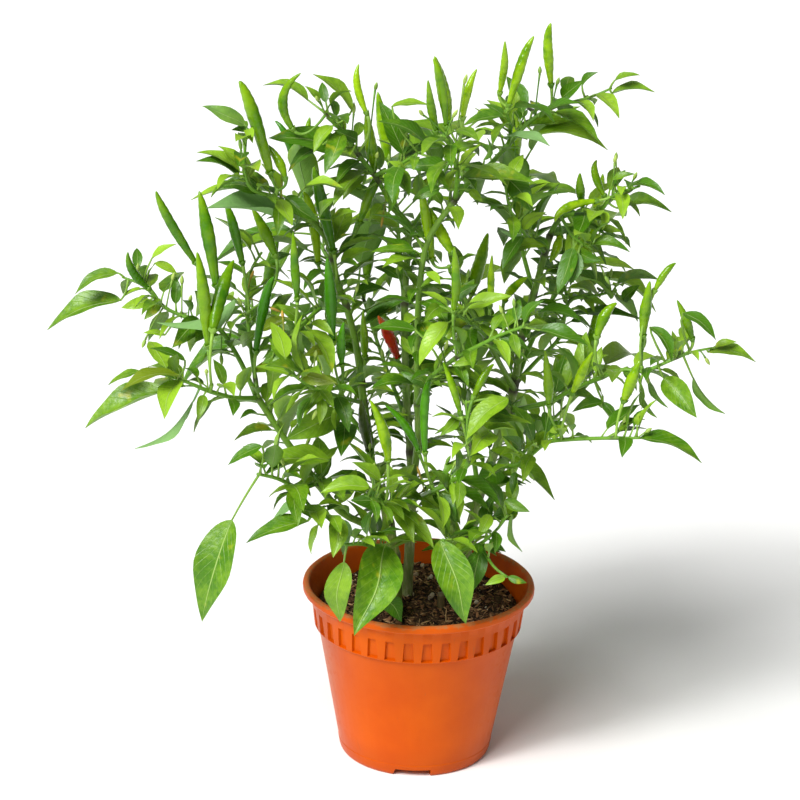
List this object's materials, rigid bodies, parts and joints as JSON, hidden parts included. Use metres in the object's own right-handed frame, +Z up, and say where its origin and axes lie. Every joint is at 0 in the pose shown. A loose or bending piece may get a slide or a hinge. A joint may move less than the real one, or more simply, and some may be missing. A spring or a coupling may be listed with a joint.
{
  "type": "potted chilli pepper plant",
  "caption": "Bushy chilli pepper plant with upright slender green fruits and one red fruit, standing in soil in a round tapered plastic nursery pot with a rolled rim and slotted collar.",
  "frame": {"origin": "middle of the pot's foot, on the surface that the pot stands on", "axes": "+Z up along the pot's axis; -Y faces the picture's viewer, +X is to the viewer's right"},
  "size_m": [0.5794, 0.3646, 0.6417],
  "materials": {
    "pot": "satin orange plastic, worn to tan along the rim",
    "soil": null,
    "stem": "green and brown bark, dark purple at the forks",
    "leaf": null,
    "chilli_green": "glossy yellow-green skin",
    "chilli_dark": "glossy dark green skin with purple",
    "chilli_red": "glossy ripe red skin"
  },
  "bodies": {
    "root": {"chilli_centre_slender": "chilli_green", "chilli_front": "chilli_green", "chilli_left_dark": "chilli_dark", "chilli_red": "chilli_red", "chilli_right_low_outer": "chilli_green", "chilli_right_outer": "chilli_green", "chilli_top_curved": "chilli_green", "chilli_top_left_dark": "chilli_dark", "chilli_top_left_high": "chilli_green", "chilli_top_right_upright": "chilli_green", "chillies_centre": "chilli_green", "chillies_centre_dark": "chilli_dark", "chillies_inner_left": "chilli_dark", "chillies_left_inner": "chilli_green", "chillies_left_outer": "chilli_green", "chillies_left_upper": "chilli_green", "chillies_middle_left": "chilli_green", "chillies_right": "chilli_green", "chillies_right_low": "chilli_green", "chillies_right_upper": "chilli_green", "chillies_top_left": "chilli_green", "chillies_top_middle": "chilli_green", "chillies_top_right": "chilli_green", "pot": "pot", "soil": "soil", "spray_back_left": "leaf", "spray_back_left_high": "leaf", "spray_back_middle_high": "leaf", "spray_back_middle_left": "leaf", "spray_back_middle_right": "leaf", "spray_back_right": "leaf", "spray_back_right_high": "leaf", "spray_back_right_low": "leaf", "spray_back_top": "leaf", "spray_centre": "leaf", "spray_centre_low": "leaf", "spray_front_left": "leaf", "spray_front_middle": "leaf", "spray_front_right": "leaf", "spray_inner_left": "leaf", "spray_inner_left_upper": "leaf", "spray_inner_right": "leaf", "spray_left_far": "leaf", "spray_left_low": "leaf", "spray_left_middle": "leaf", "spray_left_upper": "leaf", "spray_right_far": "leaf", "spray_right_inner_top": "leaf", "spray_right_low": "leaf", "spray_right_middle": "leaf", "spray_right_upper": "leaf", "spray_top_left": "leaf", "spray_top_left_high": "leaf", "spray_top_middle": "leaf", "spray_top_right": "leaf", "stem_left": "stem", "stem_middle": "stem", "stem_right": "stem", "stem_stub": "stem"}
  },
  "joints": []
}
